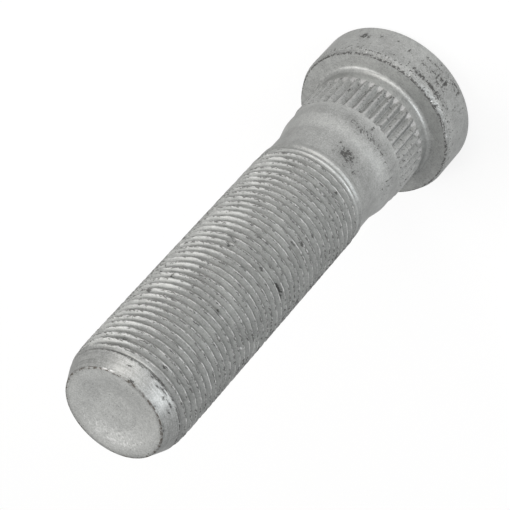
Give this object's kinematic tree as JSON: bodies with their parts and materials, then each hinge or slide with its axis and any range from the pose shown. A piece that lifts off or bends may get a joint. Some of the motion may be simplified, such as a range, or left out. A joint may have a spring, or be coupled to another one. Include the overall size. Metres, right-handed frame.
{
  "type": "wheel bolt",
  "caption": "Press-in wheel bolt with a round head, a knurled seat, a plain collar, a waisted neck and a long fine-threaded shank with a dished end.",
  "frame": {"origin": "centre of the back of the head, which the bolt stands on", "axes": "+Z along the bolt's axis, from the head to the threaded tip; -Y faces the viewer of the reference view"},
  "size_m": [0.0306, 0.0306, 0.0945],
  "materials": {
    "coated_steel": "matt silver-grey zinc flake coating on forged steel, dark in the thread's roots, with specks, nicks and a brushed end face"
  },
  "bodies": {
    "root": {"wheel_bolt": "coated_steel"}
  },
  "joints": []
}
